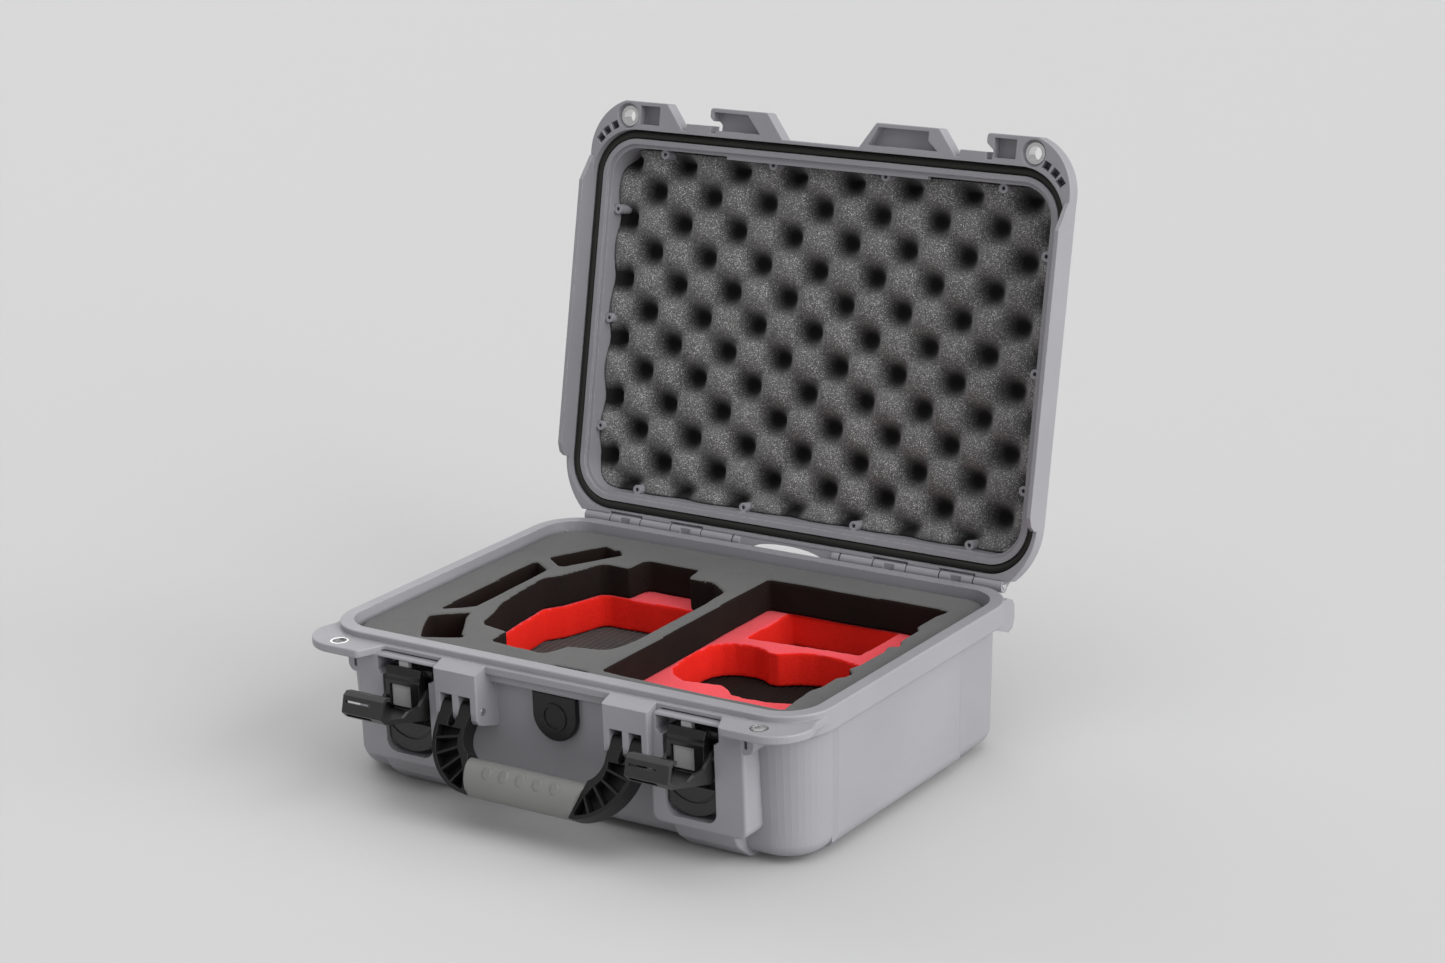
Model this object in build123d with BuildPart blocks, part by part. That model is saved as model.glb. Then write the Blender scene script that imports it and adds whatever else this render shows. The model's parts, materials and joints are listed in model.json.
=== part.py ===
"""Hard carrying case for a drone: drafted base, hinged lid with an O-ring seal, two claw latches,
a swinging handle, a pressure valve and cut foam. Millimetres, +X right, +Y towards the hinge, +Z up.
The origin is the centre of the base's footprint, on the surface that the case stands on."""

import os
from math import atan, degrees

from build123d import *

# ---- Inside of the case at the rim, and the shell around it
inside_x = 381.0
inside_y = 267.0
inside_corner = 26.0
wall = 3.5
rim_z = 105.6  # top of the base's flange
tongue_z = 110.0  # top of the ridge that presses on the seal
tongue_width = 10.0
foot_height = 5.0
base_draft_per_side = 4.0
flange_thickness = 6.0
collar_z = 93.0  # underside of the collar round the rim
front_lip = 147.0  # front and back edge of both flanges
tab_reach = 165.5  # how far the padlock tabs stand forward

# ---- Lid
lid_bottom_z = 106.0
lid_top_z = 156.0
lid_side = 204.5  # half the width over the lid's skirts
skirt_thickness = 3.2
skirt_bottom_z = 94.0
lid_round = 20.0  # outer rounding of the lid's top edge
lid_tab_top_z = 118.0
lid_open_angle = 102.5
hinge_y = 151.0
hinge_z = 108.9
knuckle_radius = 4.6
hinge_pin_radius = 2.0
running_gap = 0.05
knuckle_edges = (47.0, 75.0, 102.6, 130.2, 158.0, 182.0)
knuckle_gap = 1.0

# ---- Front furniture
latch_x = 117.0
front_wall_y = -137.0
rib_front_y = -153.0
housing_front_y = -158.0
latch_pivot_y = -148.0
latch_pivot_z = 75.0
latch_pin_radius = 2.0
latch_open_angle = 75.0
lever_half_width = 17.0
handle_pivot_y = -151.5
handle_pivot_z = 74.0
handle_pin_radius = 2.5
handle_rest_angle = 33.0
housing_inner_x = 52.0
housing_outer_x = 88.5
prong_slots = ((57.6, 68.0), (73.0, 83.4))
prong_gap = 0.4
eyelet_x = 172.9
eyelet_y = -154.1
eyelet_radius = 6.5
eyelet_bore = 5.0
valve_z = 76.0

# ---- Foam
foam_floor_z = 9.5
red_foam_z = 55.0
top_foam_z = 80.0
foam_top_z = 104.4

os.makedirs("parts", exist_ok=True)


def save(piece, name):
    """Labels a finished piece and writes it to its own STEP file."""
    piece.label = name
    export_step(piece, f"parts/{name}.step")


def opened(piece):
    """Turns a piece that was drawn on the closed lid into the open lid's place."""
    return piece.rotate(Axis((0, hinge_y, hinge_z), (1, 0, 0)), -lid_open_angle)


def flange_outline():
    """Right half of the flange seen from above, from the front middle round to the back middle."""
    with BuildLine() as half:
        Polyline((0, -front_lip), (140, -front_lip), (149, -tab_reach), (176, -tab_reach))
        ThreePointArc((176, -tab_reach), (196.5, -156), (203.5, -138))
        Polyline((203.5, -138), (200, -127), (200, 108))
        ThreePointArc((200, 108), (189.4, 132.4), (172, 142.6))
        Polyline((172, 142.6), (170, hinge_y - 5.3), (0, hinge_y - 5.3), (0, -front_lip))
    return half.line


# ============================================================ base
base_half_x = inside_x / 2 + wall
base_half_y = inside_y / 2 + wall
base_taper = degrees(atan(base_draft_per_side / (rim_z - foot_height)))
foot_x = (97.0, 146.0)
panel_step = 2.0
panel_x = base_half_x - base_draft_per_side + panel_step

with BuildPart() as base_flange:
    with BuildSketch(Plane.XY.offset(rim_z - flange_thickness)) as flange_sketch:
        add(make_face(flange_outline()))
        mirror(about=Plane.YZ)
        fillet(flange_sketch.vertices().filter_by(lambda v: abs(v.X) > 1 and v.Y < -140), 4)
    extrude(amount=flange_thickness)
    fillet(base_flange.edges().group_by(Axis.Z)[-1], 1.2)
    fillet(base_flange.edges().group_by(Axis.Z)[0], 1.2)
    # Undercut above each latch
    with BuildSketch(Plane.XY.offset(rim_z - flange_thickness)):
        with Locations((-116.5, -146), (116.5, -146)):
            Rectangle(49, 14)
    extrude(amount=3, mode=Mode.SUBTRACT)

# Collar round the rim, which the lid's skirts close over; cut away above the latch bays
with BuildPart() as base_collar:
    with BuildSketch(Plane.XY.offset(collar_z)):
        RectangleRounded(
            inside_x + 2 * tongue_width, inside_y + 2 * tongue_width, inside_corner + tongue_width
        )
    extrude(amount=rim_z - collar_z)
    fillet(base_collar.edges().group_by(Axis.Z)[0], 2)
    with BuildSketch(Plane.XY.offset(collar_z)):
        with Locations((-116.5, -144), (116.5, -144)):
            Rectangle(49, 12)
    extrude(amount=9.6, mode=Mode.SUBTRACT)

# Proud panel on the side walls, drafted with them
with BuildPart() as side_panel:
    with BuildSketch(Plane.XY.offset(foot_height)):
        with BuildLine():
            Polyline(
                (0, -98), (panel_x - panel_step, -98), (panel_x, -93), (panel_x, 64),
                (panel_x - panel_step, 70), (0, 70),
            )
            mirror(about=Plane.YZ)
        make_face()
    extrude(amount=rim_z - foot_height - 2, taper=-base_taper)
    fillet(side_panel.edges().group_by(Axis.Z)[0].filter_by(Axis.Y), 11)

# One latch bay: a raised block, later cut into two ribs and a pocket
with BuildPart() as latch_bay:
    with BuildSketch(Plane.XZ.offset(120)):
        with Locations((122.75, 62.8)):
            RectangleRounded(74.5, 77.6, 7)
    extrude(amount=-rib_front_y - 120)
    fillet(latch_bay.faces().sort_by(Axis.Y)[0].edges(), 2.5)
    with BuildSketch(Plane.XZ.offset(-front_wall_y + 1)):
        with Locations((latch_x, 63)):
            RectangleRounded(40, 64, 8)
        with BuildLine():
            Polyline(
                (92, 99.6), (92, 89.6), (94.6, 87), (138.4, 87), (141, 89.6), (141, 99.6),
                (92, 99.6),
            )
        make_face()
    extrude(amount=40, mode=Mode.SUBTRACT)

# One handle housing, sloped off at the top and cut into two prong slots
with BuildPart() as handle_housing:
    with BuildSketch(Plane.YZ.offset(housing_inner_x)):
        with BuildLine():
            Polyline(
                (-130, 58), (-138, 60), (-152, 64), (-156.5, 66), (housing_front_y, 69),
                (housing_front_y, 101.5), (-front_lip, 105.3), (-130, 105.3), (-130, 58),
            )
        make_face()
    extrude(amount=housing_outer_x - housing_inner_x)
    fillet(handle_housing.faces().sort_by(Axis.Y)[0].edges().filter_by(Axis.Z), 1.5)

# One foot at the front, swept up into the wall, and its plainer partner at the back
with BuildPart() as feet:
    with BuildSketch(Plane.YZ.offset(foot_x[0])):
        with BuildLine():
            Polyline(
                (-124, 0), (-112, 0), (-106, 8), (-120, 30), (-136, 30), (-149, 26),
                (-141, 12), (-128, 1.5), (-124, 0),
            )
        make_face()
        with BuildLine():
            Polyline((124, 0), (108, 0), (104, 8), (120, 26), (131, 26), (133, 16), (124, 0))
        make_face()
    extrude(amount=foot_x[1] - foot_x[0])
    fillet(feet.edges().group_by(Axis.X)[0].filter_by_position(Axis.Y, -150, -113), 2)
    fillet(feet.edges().group_by(Axis.X)[-1].filter_by_position(Axis.Y, -150, -113), 2)

with BuildPart() as base_shell:
    # Drafted tub, rounded along its bottom edge
    with BuildSketch(Plane.XY.offset(foot_height)):
        RectangleRounded(
            2 * (base_half_x - base_draft_per_side), 2 * (base_half_y - base_draft_per_side), 28
        )
    extrude(amount=rim_z - foot_height - 2, taper=-base_taper)
    fillet(base_shell.edges().group_by(Axis.Z)[0], 11)
    # Flange with the padlock tabs, then the feet, latch bays and handle housings on both sides
    add(base_flange.part)
    add(base_collar.part)
    add(side_panel.part)
    for block in (feet.part, latch_bay.part, handle_housing.part):
        add(block)
        add(block.mirror(Plane.YZ))
    # Stacking pad in the middle of the underside
    with BuildSketch(Plane.XY):
        RectangleRounded(170, 110, 14)
    extrude(amount=foot_height + 2, taper=-30)
    # Lug under each padlock tab
    for side in (-1, 1):
        with BuildSketch(Plane.XZ.offset(130)):
            with Locations((side * 161.3, 94.5)):
                SlotOverall(20, 12, rotation=90)
        extrude(amount=22.6)
        with BuildSketch(Plane.XZ.offset(155)):
            with Locations((side * 161.3, 91.5)):
                RectangleRounded(2.4, 6.5, 1)
        extrude(amount=-6, mode=Mode.SUBTRACT)
    # Ridge that the lid's seal sits on
    with BuildSketch(Plane.XY.offset(rim_z - 2)):
        RectangleRounded(
            inside_x + 2 * tongue_width, inside_y + 2 * tongue_width, inside_corner + tongue_width
        )
    extrude(amount=tongue_z - rim_z + 2)
    fillet(base_shell.edges().group_by(Axis.Z)[-1], 1.2)
    # Interior
    with BuildSketch(Plane.XY.offset(tongue_z)):
        RectangleRounded(inside_x, inside_y, inside_corner)
    extrude(amount=-(tongue_z - foot_height - wall), taper=base_taper, mode=Mode.SUBTRACT)
    for side in (-1, 1):
        # Bore for the lever's pin, through both ribs
        with BuildSketch(Plane.YZ.offset(side * (latch_x - 23.5))):
            with Locations((latch_pivot_y, latch_pivot_z)):
                Circle(latch_pin_radius + running_gap)
        extrude(amount=side * 47, mode=Mode.SUBTRACT)
    # Slots for the handle's prongs, open at the front and below, and the bore for its pin
    for side in (-1, 1):
        for slot_start, slot_end in prong_slots:
            with BuildSketch(Plane.YZ.offset(side * slot_start)):
                with BuildLine():
                    Polyline(
                        (-139, 40), (-170, 40), (-170, 85), (housing_front_y, 85), (-147, 90),
                        (-139, 90), (-139, 40),
                    )
                make_face()
            extrude(amount=side * (slot_end - slot_start), mode=Mode.SUBTRACT)
        with BuildSketch(Plane.YZ.offset(side * 51)):
            with Locations((handle_pivot_y, handle_pivot_z)):
                Circle(handle_pin_radius + running_gap)
        extrude(amount=side * 35, mode=Mode.SUBTRACT)
    # Padlock holes, valve hole
    with BuildSketch(Plane.XY.offset(rim_z)):
        with Locations((-eyelet_x, eyelet_y), (eyelet_x, eyelet_y)):
            Circle(eyelet_radius)
    extrude(amount=-flange_thickness, mode=Mode.SUBTRACT)
    with BuildSketch(Plane.XZ.offset(125)):
        with Locations((0, valve_z)):
            Circle(7)
    extrude(amount=20, mode=Mode.SUBTRACT)
    # Hinge brackets on the back, between the lid's knuckles
    for side in (-1, 1):
        for first in (1, 3):
            low = knuckle_edges[first] + knuckle_gap / 2
            high = knuckle_edges[first + 1] - knuckle_gap / 2
            with BuildSketch(Plane.YZ.offset(side * low)):
                with Locations((hinge_y, hinge_z)):
                    Circle(knuckle_radius)
                with BuildLine():
                    Polyline(
                        (hinge_y + knuckle_radius, hinge_z), (hinge_y + 3, 92), (136, 80),
                        (136, 103), (146.4, 105.6), (hinge_y - knuckle_radius, hinge_z),
                        (hinge_y + knuckle_radius, hinge_z),
                    )
                make_face()
            extrude(amount=side * (high - low))
            # Slot through the bracket, in front of the pin
            with BuildSketch(Plane.XY.offset(78)):
                with Locations((side * (low + high) / 2, 147)):
                    Rectangle(9, 2.2)
            extrude(amount=36, mode=Mode.SUBTRACT)
        # Fin that guards the outer end of the hinge
        with BuildSketch(Plane.YZ.offset(side * (knuckle_edges[-1] + 0.4))):
            with BuildLine():
                Polyline(
                    (124, 103), (145, 103), (150.5, 100.5), (153, 96), (153, 86), (150, 80),
                    (144, 78), (124, 86), (124, 103),
                )
            make_face()
        extrude(amount=side * 6)
        with BuildSketch(Plane.YZ.offset(side * 45)):
            with Locations((hinge_y, hinge_z)):
                Circle(hinge_pin_radius + running_gap)
        extrude(amount=side * 140, mode=Mode.SUBTRACT)
save(base_shell.part, "base_shell")

# ============================================================ lid, drawn closed
lid_half_x = 188.0
lid_half_y = 131.0
lid_body_half_x = 192.5
lid_body_half_y = 135.5
channel_inner = 4.0  # from the rim of the inside out to the seal
channel_outer = 10.7
lid_taper = 3.0
boss_spots = (
    [(x, y) for y in (-127.5, 127.5) for x in (-144.9, -48.2, 48.2, 144.9)]
    + [(x, y) for x in (-184.0, 184.0) for y in (-83.0, 0.0, 83.0)]
)
lid_ceiling_z = lid_top_z - wall

# Flange: straight front lip, sides, the two corner tabs and the two middle tabs
with BuildPart() as lid_flange:
    with BuildSketch(Plane.XY.offset(lid_bottom_z)) as lid_outline:
        with BuildLine():
            Polyline(
                (-123, -front_lip), (-138, -tab_reach), (-176, -tab_reach),
            )
            ThreePointArc((-176, -tab_reach), (-195.5, -152), (-lid_side, -122))
            Line((-lid_side, -122), (-lid_side, 106))
            ThreePointArc((-lid_side, 106), (-199.65, 128.5), (-186, 147))
            Line((-186, 147), (186, 147))
            ThreePointArc((186, 147), (199.65, 128.5), (lid_side, 106))
            Line((lid_side, 106), (lid_side, -122))
            ThreePointArc((lid_side, -122), (195.5, -152), (176, -tab_reach))
            Polyline(
                (176, -tab_reach), (135, -tab_reach), (135, -158.5), (141, -153.5),
                (140, -front_lip), (-123, -front_lip),
            )
        make_face()
        # Middle tabs, one beside each latch, each with a hooked edge on its left
        with BuildLine():
            Polyline(
                (-94, -140), (-93, -153.5), (-99, -158.5), (-99, -tab_reach), (-49, -tab_reach),
                (-34, -front_lip), (-34, -140), (-94, -140),
            )
        make_face()
        with BuildLine():
            Polyline(
                (31, -140), (31, -front_lip), (44, -tab_reach), (96, -tab_reach),
                (111, -front_lip), (111, -140), (31, -140),
            )
        make_face()
        fillet(lid_outline.vertices().filter_by(lambda v: v.Y < -149 and abs(v.X) < 175), 2.4)
    extrude(amount=lid_tab_top_z - lid_bottom_z)
    fillet(lid_flange.edges().group_by(Axis.Z)[0], 0.8)
    fillet(lid_flange.edges().group_by(Axis.Z)[-1], 1.6)

# Hollow of the lid, rounded like its outside
with BuildPart() as lid_hollow:
    with BuildSketch(Plane.XY.offset(lid_bottom_z)):
        RectangleRounded(2 * lid_half_x, 2 * lid_half_y, 24)
    extrude(amount=lid_ceiling_z - lid_bottom_z, taper=lid_taper - 1)
    fillet(lid_hollow.edges().group_by(Axis.Z)[-1], lid_round - wall)

with BuildPart() as lid_shell:
    with BuildSketch(Plane.XY.offset(lid_bottom_z)):
        RectangleRounded(2 * lid_body_half_x, 2 * lid_body_half_y, 30)
    extrude(amount=lid_top_z - lid_bottom_z, taper=lid_taper)
    fillet(lid_shell.edges().group_by(Axis.Z)[-1], lid_round)
    add(lid_flange.part)
    # Skirts that hang down outside the base's collar
    for side in (-1, 1):
        with BuildSketch(Plane.YZ.offset(side * (lid_side - skirt_thickness))):
            with BuildLine():
                Polyline(
                    (-122, 108), (-122, 105), (-103, skirt_bottom_z), (98, skirt_bottom_z),
                    (105, 97), (108, 102), (108, 108), (-122, 108),
                )
            make_face()
        extrude(amount=side * skirt_thickness)
    # Arched web between the two hinges, with a short post at each end
    with BuildSketch(Plane.XY.offset(lid_bottom_z + 0.4)):
        with Locations((0, 150.2)):
            Rectangle(92, 9.6)
        with Locations((0, 156)):
            Ellipse(33, 7.5, mode=Mode.SUBTRACT)
    extrude(amount=5.6)
    for side in (-1, 1):
        with BuildSketch(Plane.YZ.offset(side * 40)):
            with Locations((hinge_y, hinge_z)):
                Circle(knuckle_radius)
        extrude(amount=side * 6)
    # Catches that the latches' claws hold down, in the gaps between the tabs
    with BuildSketch(Plane.XY.offset(lid_bottom_z)):
        with Locations((-108.5, -144), (125, -144)):
            Rectangle(21, 16)
    extrude(amount=lid_tab_top_z - lid_bottom_z + 0.4)
    # Space for the base's ridge, the seal's channel and the interior
    with BuildSketch(Plane.XY.offset(lid_bottom_z)):
        RectangleRounded(inside_x + 21.6, inside_y + 21.6, 36.8)
    extrude(amount=tongue_z + 0.5 - lid_bottom_z, mode=Mode.SUBTRACT)
    with BuildSketch(Plane.XY.offset(lid_bottom_z)):
        RectangleRounded(inside_x + 2 * channel_outer, inside_y + 2 * channel_outer, 36.7)
        RectangleRounded(
            inside_x + 2 * channel_inner, inside_y + 2 * channel_inner, 30, mode=Mode.SUBTRACT
        )
    extrude(amount=tongue_z + 4.6 - lid_bottom_z, mode=Mode.SUBTRACT)
    with BuildSketch(Plane.XY.offset(lid_bottom_z)):
        RectangleRounded(inside_x, inside_y, inside_corner)
    extrude(amount=7.6, mode=Mode.SUBTRACT)
    add(lid_hollow.part, mode=Mode.SUBTRACT)
    # Thicker ledge along the middle of the front wall
    with BuildSketch(Plane.XY.offset(lid_bottom_z + 7.6)):
        with Locations((0, -130.5)):
            Rectangle(172, 4)
    extrude(amount=5)
    # Panel-screw bosses round the inside
    with BuildSketch(Plane.XY.offset(118.7)):
        with Locations(*boss_spots):
            Circle(3.6)
    extrude(amount=14)
    with BuildSketch(Plane.XY.offset(118.7)):
        with Locations(*boss_spots):
            Circle(1.5)
    extrude(amount=10, mode=Mode.SUBTRACT)
    # Pockets that hollow out the tabs from below, and ribs left between them
    with BuildSketch(Plane.XY.offset(lid_bottom_z)):
        with Locations((-153, -155.5), (150, -155.5)):
            Rectangle(18, 14)
        with BuildLine():
            Polyline((-95.5, -149), (-96, -162.5), (-66, -162.5), (-54, -149), (-95.5, -149))
        make_face()
        with BuildLine():
            Polyline((38, -149), (46, -162.5), (88, -162.5), (88, -156), (96, -149), (38, -149))
        make_face()
        # Three small pockets round each corner, with thin ribs between them
        for x, y, turn in ((184, -146.2, 63), (191, -141.6, 52), (196, -135.8, 41)):
            for side in (-1, 1):
                with Locations((side * x, y)):
                    Rectangle(6, 6.2, rotation=-side * turn)
    extrude(amount=9, mode=Mode.SUBTRACT)
    with BuildSketch(Plane.XY.offset(lid_bottom_z)):
        with Locations((-eyelet_x, eyelet_y), (eyelet_x, eyelet_y)):
            Circle(eyelet_radius + 3)
    extrude(amount=3.6, mode=Mode.SUBTRACT)
    with BuildSketch(Plane.XY.offset(lid_bottom_z)):
        with Locations((-eyelet_x, eyelet_y), (eyelet_x, eyelet_y)):
            Circle(eyelet_radius)
    extrude(amount=lid_tab_top_z - lid_bottom_z, mode=Mode.SUBTRACT)
    # Recessed panel and stacking ribs on the top
    with BuildSketch(Plane.XY.offset(lid_top_z)):
        RectangleRounded(300, 190, 18)
        RectangleRounded(284, 174, 12, mode=Mode.SUBTRACT)
    extrude(amount=-1.4, mode=Mode.SUBTRACT)
    # Room for the base's hinge brackets
    for side in (-1, 1):
        for first in (1, 3):
            low = knuckle_edges[first] - knuckle_gap
            high = knuckle_edges[first + 1] + knuckle_gap
            with BuildSketch(Plane.YZ.offset(side * low)):
                with Locations((hinge_y, hinge_z)):
                    Circle(knuckle_radius + 0.6)
                with Locations((hinge_y - 0.4, hinge_z - 2.5)):
                    Rectangle(11.2, 5)
            extrude(amount=side * (high - low), mode=Mode.SUBTRACT)
    # Knuckles, carried on the back edge of the flange
    for side in (-1, 1):
        for first in (0, 2, 4):
            low = knuckle_edges[first] + knuckle_gap / 2
            high = knuckle_edges[first + 1] - knuckle_gap / 2
            with BuildSketch(Plane.YZ.offset(side * low)):
                with Locations((hinge_y, hinge_z)):
                    Circle(knuckle_radius)
                with BuildLine():
                    Polyline(
                        (hinge_y - knuckle_radius, hinge_z), (145.5, 106.4), (145.5, 117.6),
                        (148, 117.6), (hinge_y + knuckle_radius, hinge_z),
                        (hinge_y - knuckle_radius, hinge_z),
                    )
                make_face()
            extrude(amount=side * (high - low))
        with BuildSketch(Plane.YZ.offset(side * 45)):
            with Locations((hinge_y, hinge_z)):
                Circle(hinge_pin_radius + running_gap)
        extrude(amount=side * 140, mode=Mode.SUBTRACT)
save(opened(lid_shell.part), "lid_shell")

with BuildPart() as lid_seal:
    with BuildSketch(Plane.XY.offset(tongue_z + 1.0)):
        RectangleRounded(inside_x + 2 * channel_outer - 0.4, inside_y + 2 * channel_outer - 0.4, 36.5)
        RectangleRounded(
            inside_x + 2 * channel_inner + 0.4, inside_y + 2 * channel_inner + 0.4, 30.2,
            mode=Mode.SUBTRACT,
        )
    extrude(amount=3.4)
    fillet(lid_seal.edges().group_by(Axis.Z)[0], 1.2)
save(opened(lid_seal.part), "lid_seal")

# Convoluted foam: its crests stand between the bosses, and its full width begins above them
with BuildPart() as lid_foam:
    with BuildSketch(Plane.XY.offset(126)):
        RectangleRounded(356, 244, 16)
    extrude(amount=12)
    with BuildSketch(Plane.XY.offset(134)):
        RectangleRounded(2 * lid_half_x - 4, 2 * lid_half_y - 4, 22)
    extrude(amount=lid_ceiling_z - 134.4, taper=lid_taper - 1)
    fillet(lid_foam.edges().group_by(Axis.Z)[-1], lid_round - wall)
save(opened(lid_foam.part), "lid_foam")

with BuildPart() as lid_eyelets:
    with BuildSketch(Plane.XY.offset(lid_bottom_z + 3.6)):
        with Locations((-eyelet_x, eyelet_y), (eyelet_x, eyelet_y)):
            Circle(eyelet_radius)
            Circle(eyelet_bore, mode=Mode.SUBTRACT)
    extrude(amount=lid_tab_top_z - lid_bottom_z - 3.6)
    with BuildSketch(Plane.XY.offset(lid_bottom_z + 2.8)):
        with Locations((-eyelet_x, eyelet_y), (eyelet_x, eyelet_y)):
            Circle(eyelet_radius + 1.2)
            Circle(eyelet_bore, mode=Mode.SUBTRACT)
    extrude(amount=0.8)
save(opened(lid_eyelets.part), "lid_eyelets")

# ============================================================ parts fixed to the base
with BuildPart() as base_eyelets:
    with BuildSketch(Plane.XY.offset(rim_z - flange_thickness)):
        with Locations((-eyelet_x, eyelet_y), (eyelet_x, eyelet_y)):
            Circle(eyelet_radius)
            Circle(eyelet_bore, mode=Mode.SUBTRACT)
    extrude(amount=flange_thickness)
save(base_eyelets.part, "base_eyelets")

with BuildPart() as hinge_pins:
    for side in (-1, 1):
        with BuildSketch(Plane.YZ.offset(side * knuckle_edges[0])):
            with Locations((hinge_y, hinge_z)):
                Circle(hinge_pin_radius)
        extrude(amount=side * (knuckle_edges[-1] - knuckle_edges[0]))
save(hinge_pins.part, "hinge_pins")

with BuildPart() as handle_pins:
    for side in (-1, 1):
        with BuildSketch(Plane.YZ.offset(side * (housing_inner_x - 0.3))):
            with Locations((handle_pivot_y, handle_pivot_z)):
                Circle(handle_pin_radius)
        extrude(amount=side * 33.5)
save(handle_pins.part, "handle_pins")

with BuildPart() as valve_body:
    with BuildSketch(Plane.XZ.offset(-front_wall_y + 0.1)):
        with BuildLine():
            Polyline((-18, 76), (-18, 92.5), (18, 92.5), (18, 76))
            ThreePointArc((18, 76), (0, 59), (-18, 76))
        make_face()
    extrude(amount=4)
    fillet(valve_body.faces().sort_by(Axis.Y)[0].edges(), 1.2)
    with BuildSketch(Plane.XZ.offset(-front_wall_y + 4.1)):
        with Locations((0, valve_z)):
            Circle(10)
            Circle(8, mode=Mode.SUBTRACT)
    extrude(amount=1)
    with BuildSketch(Plane.XZ.offset(127)):
        with Locations((0, valve_z)):
            Circle(6.9)
    extrude(amount=-front_wall_y - 127 + 0.1)
    with BuildSketch(Plane.XZ.offset(127)):
        with Locations((0, valve_z)):
            Circle(4)
    extrude(amount=9, mode=Mode.SUBTRACT)
save(valve_body.part, "valve_body")

with BuildPart() as valve_membrane:
    with BuildSketch(Plane.XZ.offset(134)):
        with Locations((0, valve_z)):
            Circle(3.9)
    extrude(amount=0.8)
save(valve_membrane.part, "valve_membrane")

with BuildPart() as valve_nut:
    with BuildSketch(Plane.XZ.offset(127.5)):
        with Locations((0, valve_z)):
            RegularPolygon(10.5, 6)
            Circle(7, mode=Mode.SUBTRACT)
    extrude(amount=4)
save(valve_nut.part, "valve_nut")

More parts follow.
